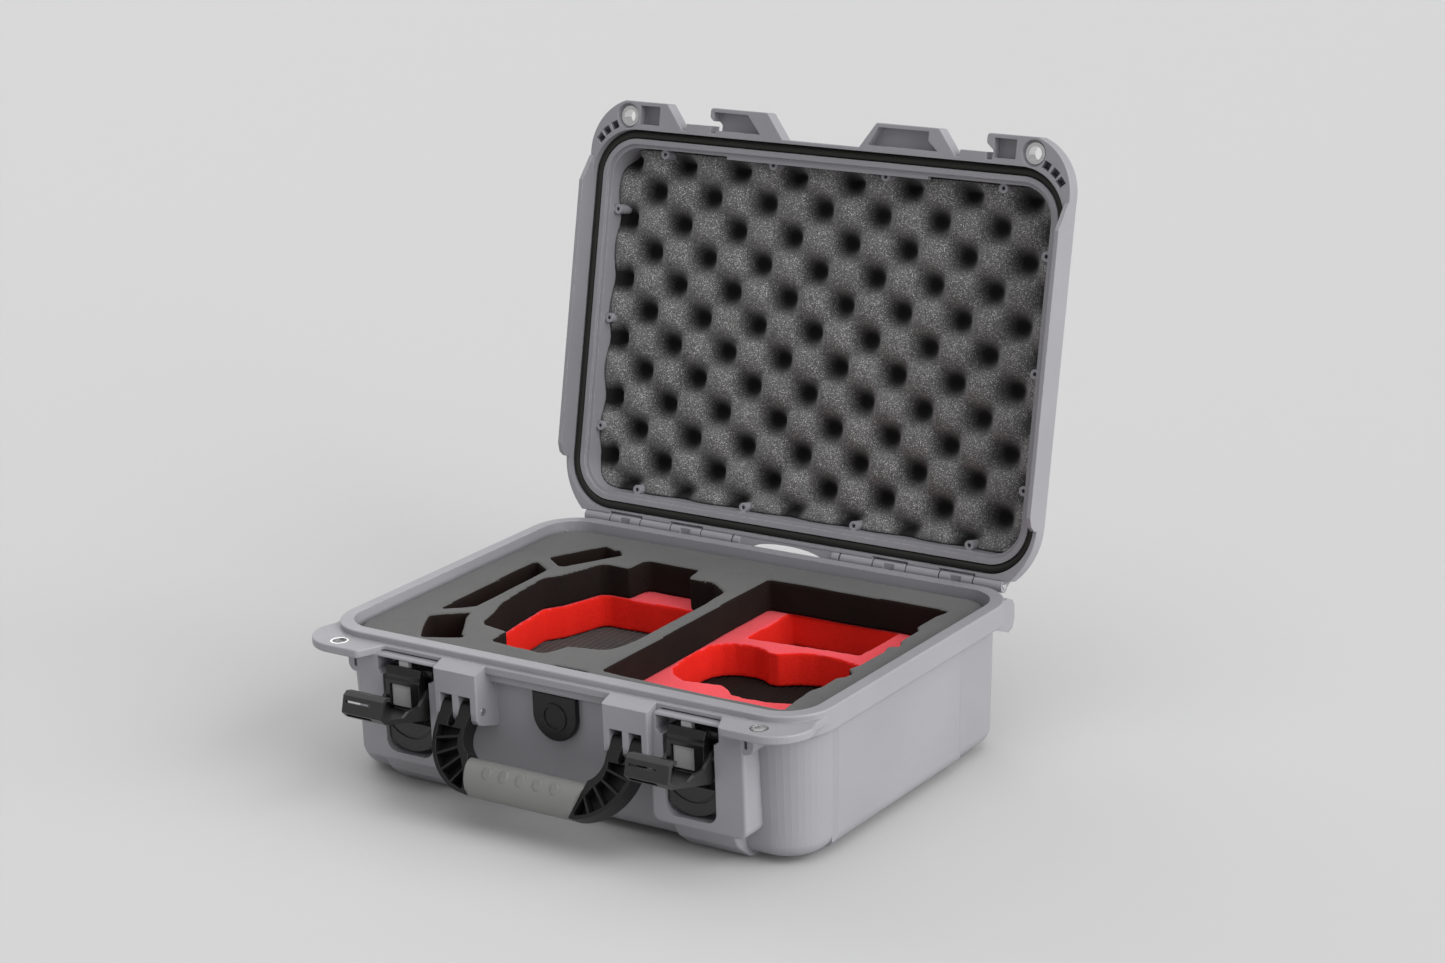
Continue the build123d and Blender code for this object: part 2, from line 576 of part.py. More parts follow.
# ============================================================ latches
def latch_side(side):
    """The five pieces of one latch: block, lever, lock slider, pin and lower guard."""
    middle = side * latch_x
    name = "left" if side < 0 else "right"
    pivot = Axis((0, latch_pivot_y, latch_pivot_z), (1, 0, 0))
    pivot_front = -latch_pivot_y

    with BuildPart() as block:
        with BuildSketch(Plane.YZ.offset(middle)):
            with BuildLine():
                Polyline(
                    (-138.4, 63.4), (-151, 63.4), (-157, 67.5), (-157, 86), (-156, 87.5),
                    (-156, 90), (-153.5, 95), (-140.5, 95), (-138.4, 92), (-138.4, 63.4),
                )
            make_face()
        extrude(amount=14.5, both=True)
        # Window in the front for the striker plate
        with BuildSketch(Plane.XZ.offset(pivot_front + 9)):
            with Locations((middle - 2, 74.8)):
                Rectangle(18, 17)
        extrude(amount=-4, mode=Mode.SUBTRACT)
        # Guide slot for the lock slider in the roof
        with BuildSketch(Plane.XY.offset(95)):
            with Locations((middle + 1, -149.6)):
                Rectangle(15, 4.6)
        extrude(amount=-4, mode=Mode.SUBTRACT)
        # Side boss that steadies the block against the rib
        with BuildSketch(Plane.YZ.offset(middle + 14.5)):
            with Locations((-147, 91.6)):
                Circle(3.8)
        extrude(amount=7)
        with BuildSketch(Plane.YZ.offset(middle - 15)):
            with Locations((latch_pivot_y, latch_pivot_z)):
                Circle(latch_pin_radius + running_gap)
        extrude(amount=30, mode=Mode.SUBTRACT)
    save(block.part, f"latch_block_{name}")

    with BuildPart() as striker:
        with BuildSketch(Plane.XZ.offset(pivot_front + 5.1)):
            with Locations((middle - 2, 74.8)):
                RectangleRounded(17.4, 16.4, 1)
        extrude(amount=2)
        fillet(striker.faces().sort_by(Axis.Y)[0].edges(), 0.6)
    save(striker.part, f"latch_striker_{name}")

    with BuildPart() as slider:
        with BuildSketch(Plane.XY.offset(91.3)):
            with Locations((middle - 2, -149.6)):
                Rectangle(8, 4)
        extrude(amount=7.6)
        fillet(slider.edges().group_by(Axis.Z)[-1], 0.8)
    save(slider.part, f"latch_slider_{name}")

    with BuildPart() as pin:
        with BuildSketch(Plane.YZ.offset(middle)):
            with Locations((latch_pivot_y, latch_pivot_z)):
                Circle(latch_pin_radius)
        extrude(amount=22.5, both=True)
    save(pin.part, f"latch_pin_{name}")

    with BuildPart() as guard:
        with BuildSketch(Plane.XZ.offset(140.5)):
            with BuildLine():
                Polyline((middle - 18.5, 40), (middle - 18.5, 54), (middle + 18.5, 54),
                         (middle + 18.5, 40))
                ThreePointArc((middle + 18.5, 40), (middle, 33), (middle - 18.5, 40))
            make_face()
        extrude(amount=10)
        with BuildSketch(Plane.XZ.offset(pivot_front + 2.5)):
            for radius in (16, 20, 24):
                with Locations((middle, 66)):
                    Circle(radius)
                    Circle(radius - 1.4, mode=Mode.SUBTRACT)
        extrude(amount=-0.8, mode=Mode.SUBTRACT)
    save(guard.part, f"latch_guard_{name}")

    # Lever with its claw, drawn closed against the front and then swung open
    with BuildPart() as lever:
        with BuildSketch(Plane.YZ.offset(middle)):
            with BuildLine():
                Polyline(
                    (-161, 73), (-164.5, 75), (-164.5, 121), (-161, 127), (-149, 127),
                    (-146, 124), (-146, 119), (-148.6, 119), (-148.6, 123), (-151, 124.2),
                    (-159.6, 124.2), (-161, 120), (-161, 73),
                )
            make_face()
        extrude(amount=lever_half_width, both=True)
        for end in (-1, 1):
            with BuildSketch(Plane.YZ.offset(middle + end * lever_half_width)):
                with Locations((latch_pivot_y, latch_pivot_z)):
                    Circle(5.5)
                with BuildLine():
                    Polyline(
                        (latch_pivot_y - 2, 70), (-162, 73), (-162, 104), (-157, 97),
                        (-154, 86), (latch_pivot_y + 2, 80.2), (latch_pivot_y - 2, 70),
                    )
                make_face()
            extrude(amount=-end * 2.4)
        # Two grip slots through the claw's web
        with BuildSketch(Plane.XY.offset(120)):
            with Locations((middle - 4, -162.6), (middle - 4, -153.2)):
                RectangleRounded(22, 1.8, 0.8)
        extrude(amount=10, mode=Mode.SUBTRACT)
        with BuildSketch(Plane.YZ.offset(middle - 20)):
            with Locations((latch_pivot_y, latch_pivot_z)):
                Circle(latch_pin_radius + running_gap)
        extrude(amount=40, mode=Mode.SUBTRACT)
    save(lever.part.rotate(pivot, latch_open_angle), f"latch_lever_{name}")


latch_side(-1)
latch_side(1)

# ============================================================ handle, drawn hanging straight down
handle_axis = Axis((0, handle_pivot_y, handle_pivot_z), (1, 0, 0))
arm_thickness = 13.0
handle_plane = Plane.XZ.offset(-handle_pivot_y)
arm_pockets = (
    ((80.4, 59), (79.6, 50.5), (61.6, 54.5), (61, 59)),
    ((79.2, 49), (75.6, 40), (60.2, 47), (61.6, 53)),
    ((74.8, 38.4), (68, 30), (56, 41.5), (59.4, 45.8)),
    ((66.8, 28.9), (58, 23.2), (50.5, 33.5), (54.8, 40.4)),
    ((56.6, 22.4), (47.4, 19.6), (46, 21.2), (49.8, 32.4)),
)

# Space of the grip between the arms, wider at the top
with BuildPart() as grip_space:
    with BuildSketch(handle_plane):
        with BuildLine():
            Polyline((-51, 50), (51, 50), (41, 9), (-41, 9), (-51, 50))
        make_face()
    extrude(amount=20, both=True)

# What the arms lose to that space, which is all but the core that the grip is moulded over
with BuildPart() as grip_cut:
    add(grip_space.part)
    with BuildSketch(Plane.YZ.offset(-60)):
        with Locations((handle_pivot_y, 29.5)):
            Ellipse(5, 9)
    extrude(amount=120, mode=Mode.SUBTRACT)

with BuildPart() as handle_frame:
    with BuildSketch(handle_plane):
        with BuildLine():
            Polyline((58, 78), (83, 78), (83, 58))
            ThreePointArc((83, 58), (73, 31.5), (46, 17))
            Polyline((46, 17), (-46, 17))
            ThreePointArc((-46, 17), (-73, 31.5), (-83, 58))
            Polyline((-83, 58), (-83, 78), (-58, 78), (-58, 62))
            ThreePointArc((-58, 62), (-55.5, 49.5), (-45, 42))
            Polyline((-45, 42), (45, 42))
            ThreePointArc((45, 42), (55.5, 49.5), (58, 62))
            Polyline((58, 62), (58, 78))
        make_face()
    extrude(amount=arm_thickness / 2, both=True)
    for side in (-1, 1):
        # Gap between the two prongs of each arm
        with BuildSketch(Plane.XZ.offset(-handle_pivot_y - 10)):
            with Locations((side * 70.5, handle_pivot_z)):
                SlotOverall(30, 5.8, rotation=90)
        extrude(amount=20, mode=Mode.SUBTRACT)
        # Lightening pockets down the front of the arm, with thin ribs between them
        with BuildSketch(Plane.XZ.offset(-handle_pivot_y + arm_thickness / 2)):
            for corners in arm_pockets:
                with BuildLine():
                    Polyline(*[(side * x, z) for x, z in corners], close=True)
                make_face()
        extrude(amount=-9, mode=Mode.SUBTRACT)
    # Prongs are only as thick as their slots allow, and round at the pivot
    with BuildSketch(Plane.YZ.offset(-90)):
        with Locations((handle_pivot_y, handle_pivot_z + 5)):
            Rectangle(30, 24)
        with Locations((handle_pivot_y, handle_pivot_z)):
            Circle(5.6, mode=Mode.SUBTRACT)
        with Locations((handle_pivot_y, handle_pivot_z - 6)):
            Rectangle(11.2, 12, mode=Mode.SUBTRACT)
    extrude(amount=180, mode=Mode.SUBTRACT)
    with BuildSketch(Plane.YZ.offset(-90)):
        with Locations((handle_pivot_y, handle_pivot_z)):
            Circle(handle_pin_radius + running_gap)
    extrude(amount=180, mode=Mode.SUBTRACT)
    add(grip_cut.part, mode=Mode.SUBTRACT)
save(handle_frame.part.rotate(handle_axis, -handle_rest_angle), "handle_frame")

with BuildPart() as handle_grip:
    with BuildSketch(Plane.YZ.offset(-60)):
        with Locations((handle_pivot_y, 29.5)):
            Ellipse(9.5, 13)
            Ellipse(5, 9, mode=Mode.SUBTRACT)
    extrude(amount=120)
    add(grip_space.part, mode=Mode.INTERSECT)
    # Five raised ovals for the fingers
    with BuildSketch(Plane.XZ.offset(-handle_pivot_y + 9.9)):
        for x in (-28, -14, 0, 14, 28):
            with Locations((x, 33.5)):
                Ellipse(3.4, 4.4)
    extrude(amount=-3)
    fillet(handle_grip.edges().group_by(Axis.Y)[0], 0.6)
save(handle_grip.part.rotate(handle_axis, -handle_rest_angle), "handle_grip")

# ============================================================ foam in the base
foam_half_x = inside_x / 2 - 5.0
foam_half_y = inside_y / 2 - 5.0
drone_outline = (
    (-106, -77), (-110, -72), (-115, -56), (-123, -36), (-130, 23), (-121, 36), (-111, 68),
    (-105, 71), (-14, 73), (4, 59), (6, 29), (6, -48), (5, -64), (1, -76), (-5, -80), (-28, -85),
    (-33, -101), (-37, -104), (-81, -101), (-84, -81),
)
drone_notch = ((-87, 70), (-86, 88), (-82, 92), (-40, 92), (-37, 77), (-32, 70))
right_pocket = (
    (21, -113), (17, 98), (149, 100), (166, 99), (163, 86), (163, 60), (167, 55), (167, 32),
    (172, 22), (165, 18), (168, 8), (167, -21), (164, -31), (171, -38), (170, -45), (166, -49),
    (166, -68), (163, -78), (166, -109), (167, -115), (102, -116), (56, -114),
)
controller_outline = (
    (22, -33), (18, -6), (20, 16), (25, 24), (33, 29), (48, 31), (57, 29), (63, 25), (71, 25),
    (84, 34), (96, 38), (115, 37), (132, 33), (150, 31), (160, 22), (162, -6), (158, -33),
    (148, -44), (132, -51), (117, -56), (98, -58), (86, -56), (80, -50), (71, -44), (55, -47),
    (42, -49), (30, -42),
)
battery_outline = ((33, 101), (34, 42), (123, 50), (124, 101))
blade_pockets = (
    ((-153, -80), (-144, -72), (-131, -62), (-128, -70), (-109, -100), (-103, -105), (-114, -111),
     (-130, -118), (-144, -97)),
    ((-155, -65), (-158, 50), (-155, 51), (-139, 40), (-136, -48), (-141, -54)),
    ((-154, 64), (-132, 105), (-121, 100), (-118, 102), (-109, 93), (-118, 78), (-133, 52),
     (-137, 52)),
)


def foam_slab(low):
    """Outline of one foam layer, drawn in a little from the drafted wall."""
    with BuildSketch(Plane.XY.offset(low)) as outline:
        RectangleRounded(2 * foam_half_x, 2 * foam_half_y, inside_corner - 3)
    return outline.sketch


def pockets(outlines, layer_top):
    """Sketch of several pockets, each a closed run of points, at the top of a foam layer."""
    with BuildSketch(Plane.XY.offset(layer_top)) as cuts:
        for outline in outlines:
            with BuildLine():
                Polyline(*outline, close=True)
            make_face()
    return cuts.sketch


# Relief for the valve's nut, through the two upper layers
with BuildPart() as nut_relief:
    with BuildSketch(Plane.XZ.offset(120)):
        with Locations((0, valve_z)):
            Rectangle(30, 58)
    extrude(amount=20)

with BuildPart() as foam_floor:
    add(foam_slab(foam_floor_z))
    extrude(amount=red_foam_z - foam_floor_z)
    chamfer(foam_floor.edges().group_by(Axis.Z)[0], 6)
    add(nut_relief.part, mode=Mode.SUBTRACT)
save(foam_floor.part, "foam_floor")

with BuildPart() as foam_red:
    add(foam_slab(red_foam_z))
    extrude(amount=top_foam_z - red_foam_z)
    add(pockets((drone_outline, controller_outline, battery_outline), top_foam_z))
    extrude(amount=-(top_foam_z - red_foam_z), mode=Mode.SUBTRACT)
    add(nut_relief.part, mode=Mode.SUBTRACT)
save(foam_red.part, "foam_red")

with BuildPart() as foam_top:
    add(foam_slab(top_foam_z))
    extrude(amount=foam_top_z - top_foam_z)
    add(pockets((drone_outline, drone_notch, right_pocket) + blade_pockets, foam_top_z))
    extrude(amount=-(foam_top_z - top_foam_z), mode=Mode.SUBTRACT)
    add(nut_relief.part, mode=Mode.SUBTRACT)
save(foam_top.part, "foam_top")
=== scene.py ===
"""Looks for the drone carrying case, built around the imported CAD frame. Metres, row frame."""
import json
import math

import bmesh
import bpy
from mathutils import Matrix, Vector, noise


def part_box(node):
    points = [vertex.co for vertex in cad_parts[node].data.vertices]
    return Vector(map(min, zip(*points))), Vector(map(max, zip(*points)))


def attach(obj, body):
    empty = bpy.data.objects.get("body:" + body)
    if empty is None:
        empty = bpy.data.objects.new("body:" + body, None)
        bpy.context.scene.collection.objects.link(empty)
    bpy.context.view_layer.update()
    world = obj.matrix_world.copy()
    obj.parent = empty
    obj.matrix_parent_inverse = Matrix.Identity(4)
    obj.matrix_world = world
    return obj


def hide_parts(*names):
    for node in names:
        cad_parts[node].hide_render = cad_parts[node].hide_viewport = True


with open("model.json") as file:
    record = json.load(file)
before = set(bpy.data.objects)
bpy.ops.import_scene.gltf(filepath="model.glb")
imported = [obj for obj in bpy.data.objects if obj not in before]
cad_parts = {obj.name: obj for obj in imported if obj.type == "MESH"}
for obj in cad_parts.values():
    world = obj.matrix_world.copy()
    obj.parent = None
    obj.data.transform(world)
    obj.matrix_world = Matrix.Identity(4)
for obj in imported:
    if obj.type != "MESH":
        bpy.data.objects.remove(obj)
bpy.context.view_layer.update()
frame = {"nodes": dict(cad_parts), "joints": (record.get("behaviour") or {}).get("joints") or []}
nodes = frame["nodes"]
joints = {j["name"]: j for j in frame["joints"]}
noise.seed_set(7)  # noise_vector starts from a random offset unless it is seeded


# ------------------------------------------------------------------ materials
# Cosines of the angle by which rounding an edge turns the normal, on a flat and on an edge
FLAT_COSINE = 0.995
EDGE_COSINE = 0.86


class Graph:
    """A short way to write a node material."""

    def __init__(self, name):
        self.material = bpy.data.materials.new(name)
        self.material.use_nodes = True
        self.tree = self.material.node_tree
        self.shader = self.tree.nodes["Principled BSDF"]
        self.place = self.add("ShaderNodeTexCoord").outputs["Object"]

    def add(self, kind, **values):
        node = self.tree.nodes.new(kind)
        for key, value in values.items():
            if hasattr(node, key):
                setattr(node, key, value)
            else:
                node.inputs[key.replace("_", " ")].default_value = value
        return node

    def link(self, source, target):
        self.tree.links.new(source, target)

    def set(self, **values):
        for key, value in values.items():
            self.shader.inputs[key.replace("_", " ")].default_value = value

    def stretched(self, scale):
        mapping = self.add("ShaderNodeMapping")
        mapping.inputs["Scale"].default_value = scale
        self.link(self.place, mapping.inputs["Vector"])
        return mapping.outputs["Vector"]

    def noise(self, scale, detail=3.0, roughness=0.55, vector=None):
        node = self.add("ShaderNodeTexNoise", Scale=scale, Detail=detail, Roughness=roughness)
        self.link(vector or self.place, node.inputs["Vector"])
        return node.outputs["Fac"]

    def cells(self, scale):
        node = self.add("ShaderNodeTexVoronoi", feature="F1", Scale=scale)
        self.link(self.place, node.inputs["Vector"])
        return node.outputs["Distance"]

    def remap(self, value, low, high, to_low=0.0, to_high=1.0):
        node = self.add("ShaderNodeMapRange")
        limits = {"From Min": low, "From Max": high, "To Min": to_low, "To Max": to_high}
        for socket, number in limits.items():
            node.inputs[socket].default_value = number
        self.link(value, node.inputs["Value"])
        return node.outputs["Result"]

    def math(self, operation, a, b):
        node = self.add("ShaderNodeMath", operation=operation)
        for socket, value in zip(node.inputs, (a, b)):
            if isinstance(value, (int, float)):
                socket.default_value = value
            else:
                self.link(value, socket)
        return node.outputs["Value"]

    def mix(self, factor, a, b):
        """Mixes two colours, whose sockets on this node are inputs 6 and 7 and output 2."""
        node = self.add("ShaderNodeMix", data_type="RGBA")
        self.link(factor, node.inputs[0])
        for socket, value in ((node.inputs[6], a), (node.inputs[7], b)):
            if isinstance(value, tuple):
                socket.default_value = (*value, 1.0)
            else:
                self.link(value, socket)
        return node.outputs[2]

    def edges(self, radius):
        """The normal with rounded edges, and how far it is turned: 1 on edges, 0 on flats."""
        bevel = self.add("ShaderNodeBevel", samples=4)
        bevel.inputs["Radius"].default_value = radius
        flat = self.add("ShaderNodeNewGeometry").outputs["Normal"]
        dot = self.add("ShaderNodeVectorMath", operation="DOT_PRODUCT")
        self.link(bevel.outputs["Normal"], dot.inputs[0])
        self.link(flat, dot.inputs[1])
        turned = self.remap(dot.outputs["Value"], FLAT_COSINE, EDGE_COSINE)
        return bevel.outputs["Normal"], turned

    def bump(self, height, distance, strength, normal=None):
        node = self.add("ShaderNodeBump")
        node.inputs["Strength"].default_value = strength
        node.inputs["Distance"].default_value = distance
        self.link(height, node.inputs["Height"])
        if normal is not None:
            self.link(normal, node.inputs["Normal"])
        return node.outputs["Normal"]

    def finish(self, colour, roughness, normal):
        self.link(colour, self.shader.inputs["Base Color"])
        self.link(roughness, self.shader.inputs["Roughness"])
        self.link(normal, self.shader.inputs["Normal"])
        return self.material


def moulded(name, base, worn, low, high, grain, radius, specular=0.5):
    """Injection-moulded plastic: fine texture, faint flow marks, paler rubbed edges.

    low and high are the limits of its roughness, grain the scale of its texture
    and radius that of its edges.
    """
    flow_stretch = (40.0, 40.0, 420.0)
    flow_roughness = 0.03
    rubbed = 0.55
    grain_height = 0.00006
    g = Graph(name)
    rounded, edge = g.edges(radius)
    cloud = g.remap(g.noise(9.0, 4.0), 0.3, 0.7)
    dark = tuple(c * 0.93 for c in base)
    light = tuple(min(1.0, c * 1.06) for c in base)
    colour = g.mix(cloud, dark, light)
    scuff = g.remap(g.noise(160.0, 5.0), 0.42, 0.62)
    colour = g.mix(g.math("MULTIPLY", edge, g.math("MULTIPLY", scuff, rubbed)), colour, worn)
    streak = g.remap(g.noise(1.0, 3.0, 0.6, g.stretched(flow_stretch)), 0.35, 0.65)
    rough = g.math(
        "ADD",
        g.remap(cloud, 0.0, 1.0, low, high),
        g.remap(streak, 0.0, 1.0, -flow_roughness, flow_roughness),
    )
    height = g.math("ADD", g.noise(grain, 2.0), g.math("MULTIPLY", g.cells(grain * 0.8), 0.5))
    g.set(Specular_IOR_Level=specular)
    return g.finish(colour, rough, g.bump(height, grain_height, 0.55, rounded))


def metal(name, base, low, high):
    """Drawn steel: fine lines along its length, in colour, roughness and height."""
    edge_radius = 0.0004
    line_stretch = (60.0, 60.0, 2600.0)
    line_height = 0.00003
    g = Graph(name)
    rounded = g.edges(edge_radius)[0]
    lines = g.noise(1.0, 4.0, 0.6, g.stretched(line_stretch))
    colour = g.mix(g.remap(lines, 0.3, 0.7), tuple(c * 0.86 for c in base), base)
    rough = g.remap(lines, 0.25, 0.75, low, high)
    g.set(Metallic=1.0)
    return g.finish(colour, rough, g.bump(lines, line_height, 0.5, rounded))


# The staggered pits of the lid's foam: their pitch along x and y, and the place of one pit
pit_pitch_x, pit_pitch_y = 0.0493, 0.0455
pit_start_x, pit_start_y = -0.0107, -0.0075


def pit_shade(g):
    """How deep in the open lid's foam a point is, 0 on a crest and 1 in a pit: the share of
    painted shade that darkens the foam's colour there.

    The foam is drawn on the closed lid, so each point is first turned back about the hinge.
    """
    full_shade = 0.95
    unevenness = 0.35
    hinge = joints["lid_hinge"]
    angle = math.radians(hinge["range_deg"][1])
    pivot_y, pivot_z = hinge["pos_m"][1:]
    split = g.add("ShaderNodeSeparateXYZ")
    g.link(g.place, split.inputs["Vector"])
    closed_y = g.math(
        "ADD",
        g.math("MULTIPLY", split.outputs["Y"], math.cos(angle)),
        g.math("MULTIPLY", split.outputs["Z"], -math.sin(angle)),
    )
    start_y = pit_start_y - pivot_y + math.cos(angle) * pivot_y - math.sin(angle) * pivot_z
    along_x = g.math("SUBTRACT", split.outputs["X"], pit_start_x)
    u = g.math("MULTIPLY", along_x, 2 * math.pi / pit_pitch_x)
    v = g.math("MULTIPLY", g.math("SUBTRACT", closed_y, start_y), 2 * math.pi / pit_pitch_y)
    wave = g.math("MULTIPLY", g.math("COSINE", u, 0.0), g.math("COSINE", v, 0.0))
    uneven = g.math("MULTIPLY", g.noise(60.0), unevenness)
    return g.remap(g.math("ADD", wave, uneven), 0.0, full_shade)


def cellular(name, dark, pale, glint_colour, scale, glint_strength, depth, sheen=0.15, spot=0.3, painted_pit_shade=None):
    """Foam: open cells, painted highlights on tiny struts, soft broad variation.

    scale is that of the cells, depth their depth, glint_strength how bright a strut's painted
    highlight is, spot the share of struts that shine, and painted_pit_shade a function that
    gives the painted shade in the pits.
    """
    g = Graph(name)
    cloud = g.remap(g.noise(22.0, 4.0), 0.3, 0.7)
    cell = g.cells(scale)
    colour = g.mix(g.remap(cell, 0.15, 0.75), pale, dark)
    colour = g.mix(g.math("MULTIPLY", cloud, 0.35), colour, tuple(c * 0.7 for c in dark))
    # Painted highlights: bright dots mixed into the colour where struts would catch the light
    strut = g.add("ShaderNodeTexVoronoi", feature="F1", Scale=scale * 1.2)
    g.link(g.place, strut.inputs["Vector"])
    chance = g.add("ShaderNodeSeparateColor")
    g.link(strut.outputs["Color"], chance.inputs["Color"])
    chosen = g.remap(chance.outputs["Red"], 1.0 - spot, 1.0)
    glint = g.math("MULTIPLY", chosen, g.remap(strut.outputs["Distance"], 0.55, 0.15))
    colour = g.mix(g.math("MULTIPLY", glint, glint_strength), colour, glint_colour)
    # Painted shade: the pits are darkened in the foam's colour itself
    if painted_pit_shade:
        colour = g.mix(painted_pit_shade(g), colour, tuple(c * 0.14 for c in dark))
    height = g.math("ADD", cell, g.noise(scale * 0.6, 3.0))
    g.set(Sheen_Weight=sheen, Specular_IOR_Level=0.15)
    rough = g.remap(cloud, 0.0, 1.0, 0.86, 0.97)
    return g.finish(colour, rough, g.bump(height, depth, 0.8))


# Plastic and rubber: base and rubbed colour, roughness limits, grain, edge radius, specular
shell = moulded(
    "shell_plastic", (0.278, 0.276, 0.298), (0.60, 0.60, 0.64), 0.36, 0.46, 1500.0, 0.0007
)
black = moulded(
    "black_nylon", (0.0085, 0.0085, 0.009), (0.05, 0.05, 0.05), 0.34, 0.46, 1700.0, 0.0006, 0.35
)
lever = moulded(
    "black_lever", (0.022, 0.022, 0.0225), (0.10, 0.10, 0.10), 0.26, 0.38, 1700.0, 0.0007, 0.45
)
polished = moulded(
    "black_polished", (0.007, 0.007, 0.0075), (0.07, 0.07, 0.07), 0.16, 0.26, 1700.0, 0.0008
)
guard = moulded(
    "black_guard", (0.014, 0.014, 0.014), (0.06, 0.06, 0.06), 0.24, 0.34, 1500.0, 0.0008
)
valve = moulded(
    "valve_plastic", (0.006, 0.006, 0.007), (0.04, 0.04, 0.04), 0.25, 0.36, 1800.0, 0.0006, 0.35
)
grip = moulded(
    "grip_rubber", (0.185, 0.185, 0.180), (0.30, 0.30, 0.29), 0.42, 0.56, 2200.0, 0.0012, 0.4
)
striker = moulded(
    "striker_plastic", (0.40, 0.40, 0.41), (0.6, 0.6, 0.6), 0.22, 0.34, 1600.0, 0.0005
)
gasket = moulded(
    "seal_rubber", (0.018, 0.018, 0.016), (0.04, 0.04, 0.036), 0.50, 0.62, 2600.0, 0.0010, 0.3
)
steel = metal("bright_steel", (0.78, 0.78, 0.78), 0.16, 0.32)
cloth = moulded(
    "vent_cloth", (0.62, 0.62, 0.60), (0.7, 0.7, 0.7), 0.75, 0.85, 3000.0, 0.0003, 0.2
)
# Foam: dark, pale and painted highlight colour, cell scale, highlight strength, depth, sheen
# The lid's foam has painted shade in its pits and painted highlights on its struts
foam_lid = cellular(
    "foam_charcoal", (0.095, 0.095, 0.095), (0.235, 0.235, 0.235), (0.9, 0.9, 0.9),
    1000.0, 0.9, 0.0002, spot=0.5, painted_pit_shade=pit_shade,
)
foam_grey = cellular(
    "foam_grey_face", (0.084, 0.084, 0.083), (0.125, 0.125, 0.124), (0.17, 0.17, 0.168),
    1900.0, 0.3, 0.0002,
)
# Near black, far darker than the grey face: on the grey layer's pocket walls it is partly
# painted shade; it also colours the black part of the floor
dark_foam_and_painted_shade = cellular(
    "foam_black_and_painted_shade", (0.010, 0.0065, 0.0055), (0.019, 0.012, 0.010), (0.018, 0.014, 0.012),
    1500.0, 0.3, 0.0003, 0.0,
)
red_face = cellular(
    "foam_red_face", (0.88, 0.060, 0.078), (0.98, 0.088, 0.112), (1.0, 0.14, 0.16),
    1900.0, 0.3, 0.0002,
)
red_cut = cellular(
    "foam_red_cut", (0.90, 0.018, 0.010), (0.98, 0.030, 0.018), (0.95, 0.05, 0.04),
    1500.0, 0.3, 0.0003, 0.0,
)
foam_floor = cellular(
    "foam_floor_ribbed", (0.040, 0.038, 0.036), (0.085, 0.082, 0.078), (0.12, 0.12, 0.11),
    1500.0, 0.3, 0.0003,
)

plain = {
    "base_shell": shell, "lid_shell": shell, "base_eyelets": steel, "lid_eyelets": steel,
    "hinge_pins": steel, "handle_pins": steel, "valve_body": valve, "valve_nut": valve,
    "valve_membrane": cloth, "handle_frame": black, "handle_grip": grip,
}
for side in ("left", "right"):
    plain[f"latch_block_{side}"] = polished
    plain[f"latch_striker_{side}"] = striker
    plain[f"latch_slider_{side}"] = striker
    plain[f"latch_pin_{side}"] = steel
    plain[f"latch_guard_{side}"] = guard
    plain[f"latch_lever_{side}"] = lever
for name, material in plain.items():
    nodes[name].data.materials.clear()
    nodes[name].data.materials.append(material)
for node in nodes.values():
    node.data.polygons.foreach_set("use_smooth", [False] * len(node.data.polygons))


# ------------------------------------------------------------------ mesh helpers
def make_object(name, mesh):
    thing = bpy.data.objects.new(name, mesh)
    bpy.context.scene.collection.objects.link(thing)
    return thing


def settled(thing):
    """Applies a thing's modifiers, so that its final mesh is what rides on its body."""
    graph = bpy.context.evaluated_depsgraph_get()
    mesh = bpy.data.meshes.new_from_object(thing.evaluated_get(graph))
    thing.modifiers.clear()
    thing.data = mesh


def opened(thing):
    """Turns a mesh drawn on the closed lid into the open lid's place."""
    hinge = joints["lid_hinge"]
    pivot = Vector(hinge["pos_m"])
    turn = Matrix.Rotation(-math.radians(hinge["range_deg"][1]), 4, Vector(hinge["axis"]))
    thing.data.transform(Matrix.Translation(pivot) @ turn @ Matrix.Translation(-pivot))
    thing.data.update()
    return thing


# ------------------------------------------------------------------ cut foam in the base
def cut_layer(node, name, face, cut):
    """A die-cut foam layer: rounded edges, slightly uneven cuts, another colour on the cuts,
    which on the grey layer is near black and partly painted shade on the pocket walls.
    """
    voxel = 0.0014
    wobble, ripple_scale, lump_scale = 0.0006, 45.0, 14.0
    highest_bump, face_depth, face_slope = 0.0004, 0.0012, 0.55
    layer = make_object(name, nodes[node].data.copy())
    layer.data.materials.clear()
    remesh = layer.modifiers.new("remesh", "REMESH")
    remesh.mode = "VOXEL"
    remesh.voxel_size = voxel
    smooth = layer.modifiers.new("smooth", "SMOOTH")
    smooth.factor = 0.5
    smooth.iterations = 3
    settled(layer)
    mesh = layer.data
    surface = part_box(node)[1].z
    for vertex in mesh.vertices:
        point = vertex.co
        ripple = noise.noise_vector(Vector((point.x, point.y, point.z * 0.35)) * ripple_scale)
        lump = noise.noise(Vector((point.x, point.y, 3.0)) * lump_scale)
        vertex.co = point + Vector((ripple.x, ripple.y, lump * 0.5)) * wobble
        vertex.co.z = min(vertex.co.z, surface + highest_bump)
    mesh.materials.append(face)
    mesh.materials.append(cut)
    # Faces pointing up at the top take the face colour, the rest the cut colour, which on the
    # grey layer is partly painted shade on the walls
    for polygon in mesh.polygons:
        polygon.use_smooth = True
        level = polygon.normal.z > face_slope
        polygon.material_index = 0 if level and polygon.center.z > surface - face_depth else 1
    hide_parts(node)
    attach(layer, "base")


# The grey layer's near-black cuts partly paint shade onto its pocket walls
cut_layer("foam_top", "foam_top_cut", foam_grey, dark_foam_and_painted_shade)
cut_layer("foam_red", "foam_red_cut", red_face, red_cut)


